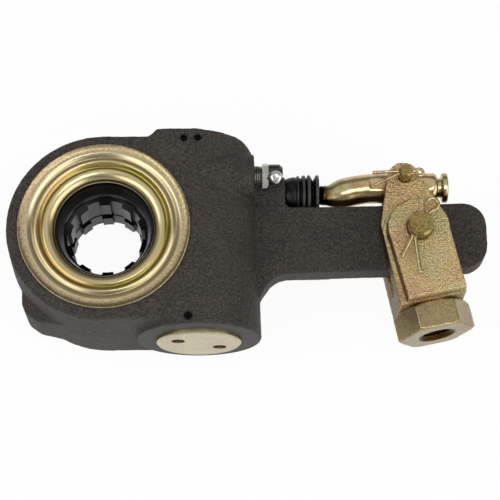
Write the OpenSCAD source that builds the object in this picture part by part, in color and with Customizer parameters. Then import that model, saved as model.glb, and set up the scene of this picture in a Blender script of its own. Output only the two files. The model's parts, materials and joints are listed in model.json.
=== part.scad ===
// Brake slack adjuster: worm-gear lever with a link-driven adjuster and a push-rod yoke
// Millimetres; +Z is the spline axis, +X points along the arm, origin on the spline axis at mid-thickness

/* [Housing] */
// Radius of the boss round the spline
boss_r = 46.5; // [45.5:0.5:50]
// Boss outline behind the spline axis
boss_off = 0.6; // [0:0.1:0.8]
// Casting draft from the faces to the parting line
boss_draft = 0.9; // [0:0.1:1.2]
// Half of the housing's thickness
body_half = 30; // [29.5:0.5:32]
// Distance from the spline axis to the worm axis
worm_x = 45; // [44.6:0.1:46]
// Barrel radius at its lower, machined end
barrel_low_r = 30.5; // [30:0.5:32]
// Barrel radius at its upper end
barrel_high_r = 27.8; // [27.4:0.2:29]
// Lower barrel end below the spline axis
barrel_low = 48.9; // [48:0.1:51]
// Upper barrel end above the spline axis
barrel_high = 50.2; // [49.8:0.1:52]
// Bore for the worm wheel and its bushes
wheel_bore_r = 38.6; // [38.4:0.1:39.2]
// Bore for the worm, pinion and bushes
worm_bore_r = 18.5; // [18.2:0.1:19]
// Edge chamfer of the cast faces
cast_edge = 1.4; // [0.8:0.1:2]
// Height of the slanted step on top, beside the barrel
top_step = 4.1; // [2.5:0.1:4.5]

/* [Arm] */
// Spline axis to the yoke pin, six inches
arm_reach = 152.4; // [146:0.1:165.1]
// Half of the arm's thickness
arm_half = 6.65; // [6:0.05:7]
// Arm edge above the axis at its root
arm_up = 16.9; // [15:0.1:17]
// Arm edge below the axis at its root
arm_down = 17.4; // [15:0.1:18]
// Arm beyond the yoke pin
arm_tail = 34.8; // [32:0.1:38]
// Corner radius at the arm's end
arm_corner = 11.6; // [9:0.1:13]

/* [Worm gear] */
// Teeth on the worm wheel
wheel_teeth = 24; // [24:1:24]
// Worm pitch radius
worm_pitch_r = 10.6; // [10.3:0.1:11]
// Tooth height above the pitch line
tooth_up = 2.2; // [2:0.05:2.4]
// Tooth depth below the pitch line
tooth_down = 2.8; // [2.7:0.05:3]
// Tooth and thread width on the pitch line
tooth_w = 3.4; // [3:0.1:3.6]
// Half of the toothed rim's width
rim_half = 9.3; // [8:0.1:9.4]
// Hub end behind the housing's face
hub_inset = 7.7; // [7.5:0.1:8.1]
// Hub journal radius
hub_r = 28; // [27:0.1:28.5]
// Adjusting hexagon across flats, seven sixteenths of an inch
hex_af = 11.11; // [10:0.01:11.2]
// Adjusting hexagon beyond the barrel
hex_out = 8.5; // [6:0.5:10]

/* [Spline] */
// Number of spline teeth
spline_teeth = 10; // [10:1:10]
// Major radius of the spline, one and a half inch shaft
spline_major_r = 19.05; // [18.6:0.05:19.2]
// Minor radius, at the tooth tips
spline_minor_r = 17.34; // [17:0.02:17.6]
// Width of a spline space
spline_space = 5.94; // [5.6:0.02:6.2]
// Tooth tips behind the hub's front end
tip_inset = 12; // [11:0.1:13]
// Slant of the tooth ends, along the hub
tip_slant = 2.4; // [1.6:0.1:3]
// Turn of the spline in the stored pose
spline_turn = 3; // [0:0.5:36]

/* [Cover rings] */
// Outer radius of the pressed cover ring
plate_r = 41.5; // [41:0.1:43]
// Cover lip inside the hub's outline
lip_in = 3.8; // [3.4:0.1:4.2]

/* [Plug] */
// Radius of the barrel plug
plug_r = 20.6; // [20.2:0.1:21.5]
// Plug standing out of the barrel
plug_out = 2.2; // [1:0.1:4]
// Spanner hole radius
spanner_r = 3.3; // [2.5:0.1:3.6]
// Spanner holes from the plug's axis
spanner_at = 11.4; // [10:0.1:12.5]
// Turn of the spanner holes
spanner_turn = -29; // [-90:1:90]

/* [Adjuster] */
// Rack axis above the spline axis
rack_y = 26; // [26:0.1:26.5]
// Pinion teeth
pinion_teeth = 18; // [18:1:18]
// Pinion pitch radius
pinion_r = 9.2; // [9:0.05:9.4]
// Rack rod radius
rack_r = 4.5; // [4.2:0.05:4.6]
// Rack boss radius on the housing
rack_boss_r = 8.5; // [8:0.1:8.8]
// End face of the rack boss
rack_boss_x = 88.1; // [87.5:0.1:88.5]
// Largest ridge radius of the boot
boot_r = 9.5; // [9:0.1:9.5]
// Length of the boot
boot_len = 17; // [16.5:0.1:17.2]

/* [Link] */
// Link pin above the yoke pin
eye_up = 29.2; // [28.5:0.1:30.5]
// Link pin radius, a quarter-inch pin
link_pin_r = 3.175; // [2.8:0.005:3.5]
// Thick part of the link
link_r = 7.5; // [6.8:0.1:7.6]
// Neck of the link in the boot
neck_r = 4.9; // [4.6:0.1:5]
// Lean of the neck below the rack axis
neck_lean = -7; // [-8:0.5:-6]
// Groove before the button
groove_r = 5; // [4.4:0.1:5.6]
// Button on the link's tail
button_r = 7.5; // [6.8:0.1:7.8]

/* [Yoke] */
// Lean of the yoke in the stored pose
yoke_turn = 11.46; // [11.46:0.01:11.46]
// Yoke pin radius, a half-inch pin
yoke_pin_r = 6.35; // [6:0.05:6.5]
// Half of the slot between the ears
slot_half = 7.4; // [7.1:0.05:7.6]
// Outer face of the thin ears
ear_z = 18; // [15:0.1:19]
// Outer face of the raised ear pads
pad_z = 24.7; // [23:0.1:26]
// Ear width on the brake side of the pin
ear_left = 17.4; // [16.4:0.1:18]
// Ear width on the outer side of the pin
ear_right = 15.5; // [15:0.1:16.5]
// Radius of the raised pads round the pin
pad_r = 15.2; // [13:0.1:15.4]
// Ear radius round the link pin
eye_ear_r = 8; // [7.6:0.1:8.6]
// Lower end of the yoke body
yoke_low = 34.8; // [34.4:0.1:36]
// Floor of the slot
slot_low = 24.5; // [24.2:0.1:25.5]
// Hexagon collar across flats, one and five sixteenths of an inch
collar_af = 33.3; // [31:0.05:34]
// Hexagon collar length
collar_len = 13.7; // [10:0.1:16]
// Push-rod axis beside the pin axis
rod_off = 0.9; // [0:0.1:1.2]
// Push-rod thread radius at the crests, five-eighths thread
rod_hole_r = 7.2; // [6.8:0.01:7.4]

/* [Grease fitting] */
// Height of the fitting above the spline axis
fit_y = 28.9; // [28.5:0.1:29.4]
// Height of the fitting in front of mid-thickness
fit_z = 18.8; // [18.6:0.1:19]
// Lean of the nipple towards the yoke side
nipple_lean = 27; // [15:1:35]
// Radius of the cast boss for the fitting
fit_boss_r = 10.5; // [10:0.1:11]
// Pipe-thread radius
fit_thread_r = 5; // [4.6:0.05:5.2]

/* [Fits] */
// Radial running clearance of turning and sliding fits
run_gap = 0.06; // [0.03:0.01:0.09]
// Seating clearance between fixed pieces
seat_gap = 0.02; // [0.01:0.01:0.05]
// Clearance between a washer and the turning rim
face_gap = 0.3; // [0.3:0.05:0.4]

/* [Hidden] */
$fn = 64;
hub_half = body_half - hub_inset;
plate_lip_r = hub_r - lip_in;
wheel_pitch_r = worm_x - worm_pitch_r;
wheel_tip_r = wheel_pitch_r + tooth_up;
wheel_root_r = wheel_pitch_r - tooth_down;
worm_tip_r = worm_pitch_r + tooth_up;
worm_root_r = worm_pitch_r - tooth_down;
worm_pitch = 2 * 180 * 0.0174532925 * wheel_pitch_r / wheel_teeth;
lead_angle = atan(worm_pitch / (2 * 180 * 0.0174532925 * worm_pitch_r));
flank = tan(20);
pinion_low = rack_y - 4;
drum_high = pinion_low - 1.5;
thread_high = drum_high - 7.5;
drum_r = 7.2;
stem_r = hex_af / 2 / cos(30) + 0.05;
plug_top = 10.2 - barrel_low;
lower_bush_top = plug_top + 8.3;
thread_low = lower_bush_top + face_gap;
groove_low = 4.5 - barrel_low;
bore_top = barrel_high - 12.2;
seal_seat_r = 12;
seal_seat_top = barrel_high - 4.2;
bush_low = rim_half + 4.3;
bush_high = body_half - 8;
eye_x = arm_reach - eye_up * sin(yoke_turn);
eye_y = eye_up * cos(yoke_turn);
ball_x = rack_boss_x + 12.1;
ball_r = 3.1;
rack_pitch = 2 * 180 * 0.0174532925 * pinion_r / pinion_teeth;
rack_tooth_w = rack_pitch * 0.39;
rack_tip = 0.9;
rack_root = 1.25;
rack_half = 3.2;
tongue_back = 12.6;
tongue_left = 38.2;
block_left = 61.5;
block_right = 65.2;
fit_x = worm_x + 27;
elbow_r = 4.85;
elbow_rise = 0.8;
nipple_foot = elbow_r - elbow_rise * sin(nipple_lean) + 0.04;
arm_end = arm_reach + arm_tail;
arm_bush_r = yoke_pin_r + 1.65;
pin_end = pad_z + 6.7;
link_pin_end = ear_z + 9;
cotter_z = pad_z + 3.2;
link_cotter_z = ear_z + 4.8;
cast_colour = [0.27, 0.25, 0.24];
gold = [0.72, 0.62, 0.36];
dark_steel = [0.16, 0.16, 0.16];
bronze = [0.62, 0.45, 0.25];
rubber = [0.08, 0.08, 0.08];
steel = [0.7, 0.7, 0.72];

// Points of an arc from one angle to another
function arc(x, y, r, a, b, n) = [for (i = [0:n]) [x + r * cos(a + (b - a) * i / n), y + r * sin(a + (b - a) * i / n)]];

// Turns a shape made along +Z so that it runs along +Y on the worm axis
module on_worm() {
  translate([worm_x, 0, 0]) rotate([-90, 0, 0]) children();
}

// Turns a shape made along +Z so that it runs along +X at a given height
module along_x(y, z) {
  translate([0, y, z]) rotate([0, 90, 0]) children();
}

// Ring with its axis along +Z
module ring(outer, inner, low, high) {
  rotate_extrude() polygon([[inner, low], [outer, low], [outer, high], [inner, high]]);
}

// Tapered rod between two points
module taper(a, b, r1, r2) {
  d = b - a;
  h = norm(d);
  translate(a) rotate([0, acos(d[2] / h), atan2(d[1], d[0])]) cylinder(r1 = r1, r2 = r2, h = h, $fn = 48);
}

// Boss, web and barrel of the casting
module casting() {
  h = body_half;
  e = cast_edge;
  translate([-boss_off, 0, 0])
    rotate_extrude($fn = 96)
      polygon([[0, -h], [boss_r - e, -h], [boss_r, e - h], [boss_r + boss_draft, 0], [boss_r, h - e], [boss_r - e, h],
        [0, h]]);
  intersection() {
    translate([0, 0, -h])
      linear_extrude(2 * h)
        polygon([[0, barrel_high - top_step], [21.3, barrel_high - top_step], [25.2, barrel_high - 0.4],
          [28, barrel_high], [60, barrel_high], [60, 0.3 - boss_r], [0, 0.3 - boss_r]]);
    rotate([-90, 0, 0])
      linear_extrude(4 * barrel_low, center = true)
        polygon([[-5, -h], [worm_x, -h], [worm_x + 8, 3.5 - h], [worm_x + 8, h - 3.5], [worm_x, h], [-5, h]]);
  }
  intersection() {
    on_worm()
      rotate_extrude($fn = 96)
        polygon([[0, -barrel_low], [barrel_low_r - 0.4, -barrel_low], [barrel_low_r, 0.4 - barrel_low],
          [barrel_high_r, barrel_high], [0, barrel_high]]);
    translate([0, 0, -2 * h])
      linear_extrude(4 * h)
        polygon(concat([[0, -barrel_low - 1], [worm_x + 40, -barrel_low - 1]],
          arc(worm_x + 17.4, barrel_high - 12.6, 11.4, 0, 80, 8), [[worm_x + 8, barrel_high], [0, barrel_high]]));
  }
}

// Flat arm with its rounded end and the fillets at its root
module arm() {
  c = arm_corner;
  translate([0, 0, -arm_half])
    linear_extrude(2 * arm_half)
      polygon(concat([[60, arm_up], [112, arm_up]], arc(arm_end - c, arm_up + 1.5 - c, c, 90, 0, 14),
        arc(arm_end - c, c + 2.4 - arm_down, c, 0, -90, 14), [[88, -arm_down], [60, -arm_down]]));
  difference() {
    translate([62, -arm_down - 12, -arm_half]) cube([27, 12.5, 2 * arm_half]);
    translate([89, -arm_down - 12, -arm_half - 1]) cylinder(r = 12, h = 2 * arm_half + 2);
  }
  difference() {
    translate([rack_boss_x - 4, arm_up - 1, -arm_half]) cube([7, 4.2, 2 * arm_half]);
    translate([rack_boss_x + 3, arm_up + 3.2, -arm_half - 1]) cylinder(r = 3.1, h = 2 * arm_half + 2);
  }
}

// Boss for the rack guide and the plate that joins it to the arm
module rack_boss() {
  along_x(rack_y, 0) translate([0, 0, 62]) cylinder(r = rack_boss_r, h = rack_boss_x - 62);
  translate([62, 0, -arm_half]) cube([rack_boss_x - 62, rack_y + 4.5, 2 * arm_half]);
}

// Small cast lug low on the boss
module side_lug() {
  intersection() {
    translate([0, 0, -22])
      linear_extrude(46)
        polygon([[-44, -12], [-41.6, -20.5], [-41.5, -30.6], [-39.6, -35.3], [-33.5, -39.8], [-26.4, -41.4],
          [-19, -43.5], [-10, -20]]);
    translate([-40, -30, -21]) rotate([0, -28, 35]) cube([90, 60, 42], center = true);
  }
}

// Inner spaces and holes of the casting
module casting_spaces() {
  h = body_half;
  translate([0, 0, -h - 1]) cylinder(r = wheel_bore_r, h = 2 * h + 2, $fn = 96);
  on_worm() {
    translate([0, 0, -barrel_low - 1]) cylinder(r = plug_r + seat_gap, h = barrel_low + 1 + plug_top);
    translate([0, 0, plug_top - 1]) cylinder(r = worm_bore_r, h = bore_top - plug_top + 1);
    translate([0, 0, bore_top - 1]) cylinder(r = seal_seat_r, h = seal_seat_top - bore_top + 1);
    translate([0, 0, seal_seat_top - 1]) cylinder(r = stem_r + 0.5, h = barrel_high - seal_seat_top + 2);
  }
  translate([50, rack_y - rack_half - 0.7, -5.2]) cube([20.5, 2 * rack_half + 1.4, tongue_back + 5.6]);
  along_x(rack_y, 0) translate([0, 0, 50]) cylinder(r = rack_r + 0.7, h = 20);
  translate([24, rack_y - rack_half - 0.7, pinion_r - rack_tip - 0.6])
    cube([30, 2 * rack_half + 1.4, tongue_back + 1 - pinion_r + rack_tip]);
  along_x(rack_y, 0) translate([0, 0, 69]) cylinder(r = rack_r + 2 + seat_gap, h = 21);
  along_x(rack_y, 0) translate([0, 0, rack_boss_x + 5]) cylinder(r = boot_r + 0.3, h = boot_len - 3);
  translate([arm_reach, 0, -arm_half - 1]) cylinder(r = arm_bush_r + seat_gap, h = 2 * arm_half + 2);
  along_x(fit_y, fit_z) translate([0, 0, fit_x - 9]) cylinder(r = fit_thread_r + seat_gap, h = 12);
  along_x(fit_y, fit_z) translate([0, 0, fit_x - 28]) cylinder(r = 1.6, h = 20);
  translate([worm_x - 4.6, 4.1 - barrel_low, h - 11]) cylinder(r = 1.7, h = h);
  translate([worm_x - 6.7, barrel_high - 4.9, h - 18]) cylinder(r = 1.35, h = h);
  translate([worm_x + 0.1, barrel_high - 4.7, h - 17.5]) cylinder(r = 1.35, h = h);
  translate([worm_x - 6.7, barrel_high - 5, h - 0.35]) cube([6.8, 0.5, 2]);
}

module housing() {
  color(cast_colour)
    difference() {
      union() {
        casting();
        arm();
        rack_boss();
        side_lug();
        along_x(fit_y, fit_z) translate([0, 0, fit_x - 28]) cylinder(r = fit_boss_r, h = 28.6);
      }
      casting_spaces();
    }
}

// Pressed cover ring, its flange on the housing's face
module cover_ring() {
  p = plate_r;
  t = hub_r;
  translate([0, 0, body_half + seat_gap])
    rotate_extrude($fn = 128)
      polygon([[p, 0], [p, 1], [p - 0.4, 1.4], [p - 5.1, 1.4], [p - 5.8, -0.4], [p - 7.8, -0.4], [p - 8.4, 0.8],
        [p - 9.2, 0.7], [t + 1.2, -0.9], [t + 0.7, -0.5], [t, -0.5], [t - 0.6, -1.1], [t - 1.1, -2],
        [plate_lip_r, -7.2], [plate_lip_r + 1.2, -7.3], [t + 0.1, -2.1], [t + 1.3, -2.2], [p - 8.9, -0.7],
        [p - 8.3, -1.7], [p - 5.4, -1.7], [p - 4.6, 0]]);
}

module front_plate() {
  color(gold) cover_ring();
}

module rear_plate() {
  color(gold) mirror([0, 0, 1]) cover_ring();
}

module front_bush() {
  color(bronze) ring(wheel_bore_r - seat_gap, hub_r + run_gap, bush_low, bush_high);
}

module rear_bush() {
  color(bronze) mirror([0, 0, 1]) ring(wheel_bore_r - seat_gap, hub_r + run_gap, bush_low, bush_high);
}

module front_thrust() {
  color(steel) ring(hub_r + 4.6, hub_r + 0.3, rim_half + face_gap, bush_low - seat_gap);
}

module rear_thrust() {
  color(steel) mirror([0, 0, 1]) ring(hub_r + 4.6, hub_r + 0.3, rim_half + face_gap, bush_low - seat_gap);
}

// Lip seal under a cover ring
module hub_seal() {
  rotate_extrude()
    polygon([[hub_r + 0.5, bush_high + seat_gap], [wheel_bore_r - 0.1, bush_high + seat_gap],
      [wheel_bore_r - 0.1, body_half - 2.2], [wheel_bore_r - 4, body_half - 2.2], [wheel_bore_r - 4, bush_high + 2.4],
      [hub_r + 2.4, bush_high + 2.4], [hub_r + 1.4, bush_high + 4], [hub_r + 0.5, bush_high + 3.6]]);
}

module front_seal() {
  color(rubber) hub_seal();
}

module rear_seal() {
  color(rubber) mirror([0, 0, 1]) hub_seal();
}

// Space cut by the splined shaft, with the lead-ins and grooves of the hub
module spline_space_cut() {
  n = spline_teeth;
  translate([0, 0, -hub_half - 1]) cylinder(r = spline_minor_r, h = 2 * hub_half + 2, $fn = 96);
  intersection() {
    translate([0, 0, -hub_half - 1]) cylinder(r = spline_major_r, h = 2 * hub_half + 2, $fn = 96);
    union() {
      for (i = [0:n / 2 - 1])
        rotate([0, 0, spline_turn + i * 360 / n])
          cube([4 * spline_major_r, spline_space, 3 * hub_half], center = true);
    }
  }
  rotate_extrude($fn = 96)
    polygon([[0, hub_half - tip_inset], [spline_minor_r, hub_half - tip_inset],
      [spline_major_r + 1.2, hub_half - tip_inset + tip_slant], [spline_major_r + 1.7, hub_half - 5.6],
      [spline_major_r + 3.4, hub_half], [spline_major_r + 3.4, hub_half + 1], [0, hub_half + 1]]);
  rotate_extrude($fn = 96)
    polygon([[0, -9.6], [spline_major_r + 0.3, -9.6], [spline_major_r + 0.3, -3], [0, -3]]);
  rotate_extrude($fn = 96)
    polygon([[0, -hub_half - 1], [spline_major_r + 1.8, -hub_half - 1], [spline_major_r + 1.8, -hub_half],
      [spline_minor_r, 3.2 - hub_half], [0, 3.2 - hub_half]]);
}

// One straight-sided tooth of the wheel, leaning by the worm's lead
module wheel_tooth() {
  low = tooth_down + 1;
  translate([wheel_pitch_r, 0, 0])
    rotate([-lead_angle, 0, 0])
      linear_extrude(2 * rim_half + 6, center = true)
        polygon([[-low, -tooth_w / 2 - low * flank], [tooth_up + 1, -tooth_w / 2 + (tooth_up + 1) * flank],
          [tooth_up + 1, tooth_w / 2 - (tooth_up + 1) * flank], [-low, tooth_w / 2 + low * flank]]);
}

module worm_wheel() {
  color(dark_steel)
    difference() {
      union() {
        translate([0, 0, -hub_half]) cylinder(r = hub_r, h = 2 * hub_half, $fn = 96);
        translate([0, 0, -rim_half]) cylinder(r = wheel_root_r, h = 2 * rim_half, $fn = 96);
        intersection() {
          translate([0, 0, -rim_half]) cylinder(r = wheel_tip_r, h = 2 * rim_half, $fn = 96);
          union() {
            for (i = [0:wheel_teeth - 1])
              rotate([0, 0, i * 360 / wheel_teeth]) wheel_tooth();
          }
        }
      }
      spline_space_cut();
    }
}

// Cross-section of the worm's thread, its crest towards +X
module thread_section() {
  top = 180 * (tooth_w - 2 * tooth_up * flank) / worm_pitch;
  low = 180 * (tooth_w + 2 * tooth_down * flank) / worm_pitch;
  polygon(concat(arc(0, 0, worm_tip_r, -top, top, 2),
    [for (i = [1:3]) let (a = top + (low - top) * i / 4, r = worm_tip_r + (worm_root_r - worm_tip_r) * i / 4)
      [r * cos(a), r * sin(a)]],
    arc(0, 0, worm_root_r, low, 360 - low, 7),
    [for (i = [3:-1:1]) let (a = top + (low - top) * i / 4, r = worm_tip_r + (worm_root_r - worm_tip_r) * i / 4)
      [r * cos(a), -r * sin(a)]]));
}

module worm() {
  turns = (thread_high - thread_low) / worm_pitch;
  color(steel)
    on_worm() {
      translate([0, 0, thread_low])
        rotate([0, 0, 360 * thread_low / worm_pitch])
          linear_extrude(thread_high - thread_low, twist = -360 * turns, slices = round(turns * 18), $fn = 4)
            thread_section();
      translate([0, 0, plug_top + 0.6]) cylinder(r = 7, h = thread_low - plug_top);
      translate([0, 0, thread_high - 0.6]) cylinder(r = drum_r, h = drum_high - thread_high + 0.6);
      translate([0, 0, drum_high]) cylinder(r = stem_r, h = barrel_high - drum_high + 0.5);
      intersection() {
        translate([0, 0, barrel_high + 0.5]) cylinder(r = hex_af / 2 / cos(30), h = hex_out - 0.5, $fn = 6);
        translate([0, 0, barrel_high + 0.5]) cylinder(r1 = stem_r + hex_out - 2, r2 = stem_r - 1.2, h = hex_out - 0.5);
      }
    }
}

module lower_bush() {
  color(bronze) on_worm() ring(worm_bore_r - seat_gap, 7 + run_gap, plug_top + 0.2, lower_bush_top);
}

module upper_bush() {
  color(bronze) on_worm() ring(worm_bore_r - seat_gap, stem_r + run_gap, bore_top - 6.6, bore_top - seat_gap);
}

module worm_seal() {
  color(rubber) on_worm() ring(seal_seat_r - seat_gap, stem_r + 0.3, bore_top + seat_gap, seal_seat_top - seat_gap);
}

module worm_plug() {
  color(gold)
    on_worm()
      difference() {
        rotate_extrude($fn = 96)
          polygon([[0, -barrel_low - plug_out], [plug_r - 0.7, -barrel_low - plug_out],
            [plug_r, 0.7 - barrel_low - plug_out], [plug_r, groove_low], [plug_r - 1.7, groove_low],
            [plug_r - 1.7, groove_low + 3.2], [plug_r, groove_low + 3.2], [plug_r, plug_top], [0, plug_top]]);
        for (s = [-1, 1])
          rotate([0, 0, -spanner_turn])
            translate([s * spanner_at, 0, -barrel_low - plug_out - 1])
              cylinder(r = spanner_r, h = 6);
      }
}

module plug_seal() {
  color(rubber)
    on_worm()
      translate([0, 0, groove_low + 1.6])
        rotate_extrude()
          translate([plug_r - 0.86, 0]) circle(r = 0.82, $fn = 16);
}

// Pinion teeth with their flanks at twenty degrees
module pinion() {
  low = rack_root + 0.6;
  w = rack_tooth_w;
  color(steel)
    on_worm()
      difference() {
        union() {
          translate([0, 0, drum_high + 0.3]) cylinder(r = drum_r, h = pinion_low - drum_high);
          translate([0, 0, pinion_low]) cylinder(r = pinion_r - rack_root, h = 8);
          intersection() {
            translate([0, 0, pinion_low]) cylinder(r = pinion_r + rack_tip, h = 8);
            union() {
              for (i = [0:pinion_teeth - 1])
                rotate([0, 0, i * 360 / pinion_teeth])
                  translate([pinion_r, 0, pinion_low])
                    linear_extrude(8)
                      polygon([[-low, -w / 2 - low * flank], [1.2, 1.2 * flank - w / 2], [1.2, w / 2 - 1.2 * flank],
                        [-low, w / 2 + low * flank]]);
            }
          }
        }
        translate([0, 0, 20]) cylinder(r = stem_r + run_gap, h = 12);
      }
}

// Wrap spring: square wire wound round the drum, its last turn on the pinion
module clutch_spring() {
  turns = 4;
  inner = drum_r + 0.35;
  color(steel)
    on_worm()
      translate([0, 0, thread_high + 1])
        linear_extrude(pinion_low - 1.1 - thread_high, twist = -360 * turns, slices = turns * 15, $fn = 4)
          polygon(concat(arc(0, 0, inner + 1.3, 0, 250, 11), arc(0, 0, inner, 250, 0, 11)));
}

module rack() {
  tip = pinion_r - rack_tip;
  root = pinion_r + rack_root;
  color(steel)
    difference() {
      union() {
        along_x(rack_y, 0) translate([0, 0, block_left + 1]) cylinder(r = rack_r, h = ball_x - 4.2 - block_left - 1);
        along_x(rack_y, 0) translate([0, 0, ball_x - 5]) cylinder(r = ball_r + 2.3, h = 6.8);
        translate([block_left, rack_y - rack_half, -rack_half]) cube([block_right - block_left, 2 * rack_half, tongue_back + rack_half]);
        translate([tongue_left, rack_y - rack_half, root]) cube([block_right - tongue_left, 2 * rack_half, tongue_back - root]);
        for (i = [-2:4])
          translate([worm_x + i * rack_pitch, rack_y - rack_half, pinion_r])
            rotate([-90, 0, 0])
              linear_extrude(2 * rack_half)
                polygon([[-rack_tooth_w / 2 - rack_root * flank - 0.04, -rack_root - 0.1],
                  [rack_tooth_w / 2 + rack_root * flank + 0.04, -rack_root - 0.1],
                  [rack_tooth_w / 2 - rack_tip * flank, rack_tip], [rack_tip * flank - rack_tooth_w / 2, rack_tip]]);
      }
      along_x(rack_y, 0) translate([0, 0, ball_x - 4.2]) cylinder(r = ball_r + 1.1, h = 7);
    }
}

module rack_guide() {
  color(bronze) along_x(rack_y, 0) ring(rack_r + 2, rack_r + run_gap, rack_boss_x - 16.1, rack_boss_x - 0.4);
}

// Rubber bellows turned about the rack axis
module boot() {
  b = boot_r;
  n = neck_r + 0.6;
  color(rubber)
    along_x(rack_y, 0)
      translate([0, 0, rack_boss_x])
        scale([1, 1, boot_len / 17])
          rotate_extrude()
            polygon([[6.6, 0.02], [7.2, 0.02], [7.8, 0.9], [b - 0.9, 4.6], [b - 1.2, 5.4], [b - 0.8, 5.9], [b - 0.4, 6.4],
              [b - 0.5, 6.9], [7, 8], [b - 0.5, 8.8], [b - 0.1, 9.2], [b - 0.2, 9.6], [7, 10.7], [b - 0.3, 11.4],
              [b, 11.8], [b - 0.3, 12.3], [6.9, 13.8], [b - 0.4, 15.6], [b, 16.1], [b - 0.3, 16.6], [b - 0.9, 16.9],
              [n, 17], [n, 16.2], [b - 1.5, 15.7], [6, 14.2], [5.9, 13.5], [b - 1.6, 11.8], [5.9, 10.7], [b - 1.7, 9.3],
              [5.9, 8], [b - 1.9, 6.7], [6.9, 5.2]]);
}

// Push link: ball in the rack socket, neck, S bend, eye in the yoke and button tail
module link() {
  start = [ball_x + 7.2, rack_y - 0.9, 0];
  dip = [ball_x + 9.4, rack_y - 0.8, 0];
  bend = [ball_x + 16.7, rack_y + 1.1, 0];
  rise = [eye_x - 23.2, eye_y - 0.4, 0];
  thick = [eye_x - 14, eye_y, 0];
  color(gold)
    difference() {
      union() {
        translate([ball_x, rack_y, 0])
          rotate([0, 90, neck_lean])
            rotate_extrude()
              polygon(concat(arc(0, 0, ball_r, -90, 42, 8), [[2.3, 2.4], [neck_r - 0.9, 3.2],
                [neck_r - 0.9, 4.6], [neck_r - 0.1, 5.4], [neck_r - 0.1, 7], [neck_r + 0.15, 7.1],
                [neck_r + 0.15, 7.9], [neck_r - 0.4, 8.1], [0, 8.1]]));
        taper(start, dip, neck_r - 0.25, neck_r + 0.1);
        translate(dip) sphere(r = neck_r + 0.05, $fn = 32);
        taper(dip, bend, neck_r + 0.2, link_r - 0.75);
        translate(bend) sphere(r = link_r - 0.9, $fn = 32);
        taper(bend, rise, link_r - 0.7, link_r - 0.4);
        translate(rise) sphere(r = link_r - 0.55, $fn = 32);
        taper(rise, thick, link_r - 0.35, link_r - 0.1);
        along_x(eye_y, 0)
          rotate_extrude()
            polygon([[0, eye_x - 16], [link_r - 1.5, eye_x - 16], [link_r, eye_x - 14.5], [link_r, eye_x + 16.2],
              [link_r - 0.9, eye_x + 17.3], [groove_r, eye_x + 17.5], [groove_r, eye_x + 19.6], [button_r - 0.5, eye_x + 19.8],
              [button_r, eye_x + 20.3], [button_r, eye_x + 22.2], [button_r - 0.6, eye_x + 22.8], [0, eye_x + 22.9]]);
      }
      translate([eye_x, eye_y, -12]) cylinder(r = link_pin_r + run_gap, h = 24);
      for (s = [0, 1])
        mirror([0, 0, s])
          translate([eye_x - 17, eye_y - 15, slot_half - 0.5]) cube([32, 30, 5]);
    }
}

// Moves the children into the yoke's own frame, with the link pin straight up
module in_yoke() {
  translate([arm_reach, 0, 0]) rotate([0, 0, yoke_turn]) children();
}

module clevis() {
  color(gold)
    in_yoke()
      difference() {
        union() {
          for (s = [0, 1])
            mirror([0, 0, s]) {
              translate([0, 0, slot_half])
                linear_extrude(ear_z - slot_half)
                  polygon(concat(arc(-0.7, eye_up - 0.6, eye_ear_r, 15, 165, 14),
                    [[-ear_left, 7], [-ear_left, -yoke_low], [ear_right, -yoke_low], [ear_right, 4]]));
              translate([0, 0, ear_z - 0.5])
                linear_extrude(pad_z - ear_z - 0.3)
                  polygon(concat(arc(-0.5, 0, pad_r, -12, 192, 24),
                    [[1.2 - pad_r, 0.6 - yoke_low], [pad_r - 0.2, 0.6 - yoke_low]]));
              translate([0, 0, pad_z - 1])
                linear_extrude(1)
                  polygon(concat(arc(-0.5, 0, pad_r - 0.6, -12, 192, 24),
                    [[1.8 - pad_r, 1.4 - yoke_low], [pad_r - 0.8, 1.4 - yoke_low]]));
            }
          translate([-ear_left, -yoke_low, -slot_half - 1])
            cube([ear_left + ear_right, yoke_low - slot_low, 2 * slot_half + 2]);
        }
        translate([0, 0, -pad_z - 1]) cylinder(r = yoke_pin_r + seat_gap, h = 2 * pad_z + 2);
        translate([0, eye_up, -ear_z - 1]) cylinder(r = link_pin_r + seat_gap, h = 2 * ear_z + 2);
        translate([-rod_off, -yoke_low - 1, 0]) rotate([-90, 0, 0]) cylinder(r = rod_hole_r + 3.3 + seat_gap, h = 9.1);
        translate([-rod_off, -yoke_low, 0]) rotate([-90, 0, 0]) cylinder(r = rod_hole_r + 0.6, h = yoke_low - slot_low + 1);
      }
}

module hex_collar() {
  low = yoke_low + collar_len;
  corner_r = collar_af / 2 / cos(30);
  color(gold)
    in_yoke()
      translate([-rod_off, -low, 0])
        rotate([-90, 0, 0])
          difference() {
            union() {
              intersection() {
                cylinder(r = corner_r, h = collar_len - seat_gap, $fn = 6);
                rotate_extrude($fn = 96)
                  polygon([[0, 0], [corner_r - 1.5, 0], [corner_r, 0.8], [corner_r, collar_len - 1.6],
                    [corner_r - 2.6, collar_len], [0, collar_len]]);
              }
              translate([0, 0, collar_len - 1]) cylinder(r = rod_hole_r + 3.3, h = 9);
            }
            translate([0, 0, -1]) cylinder(r = rod_hole_r, h = collar_len + 12);
            translate([0, 0, -0.01]) cylinder(r1 = rod_hole_r + 2.1, r2 = rod_hole_r, h = 2);
          }
}

module clevis_pin() {
  c = 0.9;
  color(gold)
    translate([arm_reach, 0, 0])
      difference() {
        rotate_extrude()
          polygon([[0, -pad_z - 5], [8.6, -pad_z - 5], [9.4, -pad_z - 4.2], [9.4, -pad_z - seat_gap],
            [yoke_pin_r, -pad_z - seat_gap], [yoke_pin_r, pin_end - c], [yoke_pin_r - c, pin_end], [0, pin_end]]);
        translate([0, 0, cotter_z]) rotate([0, 90, 60]) cylinder(r = 1.75, h = 20, center = true, $fn = 32);
      }
}

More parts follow.
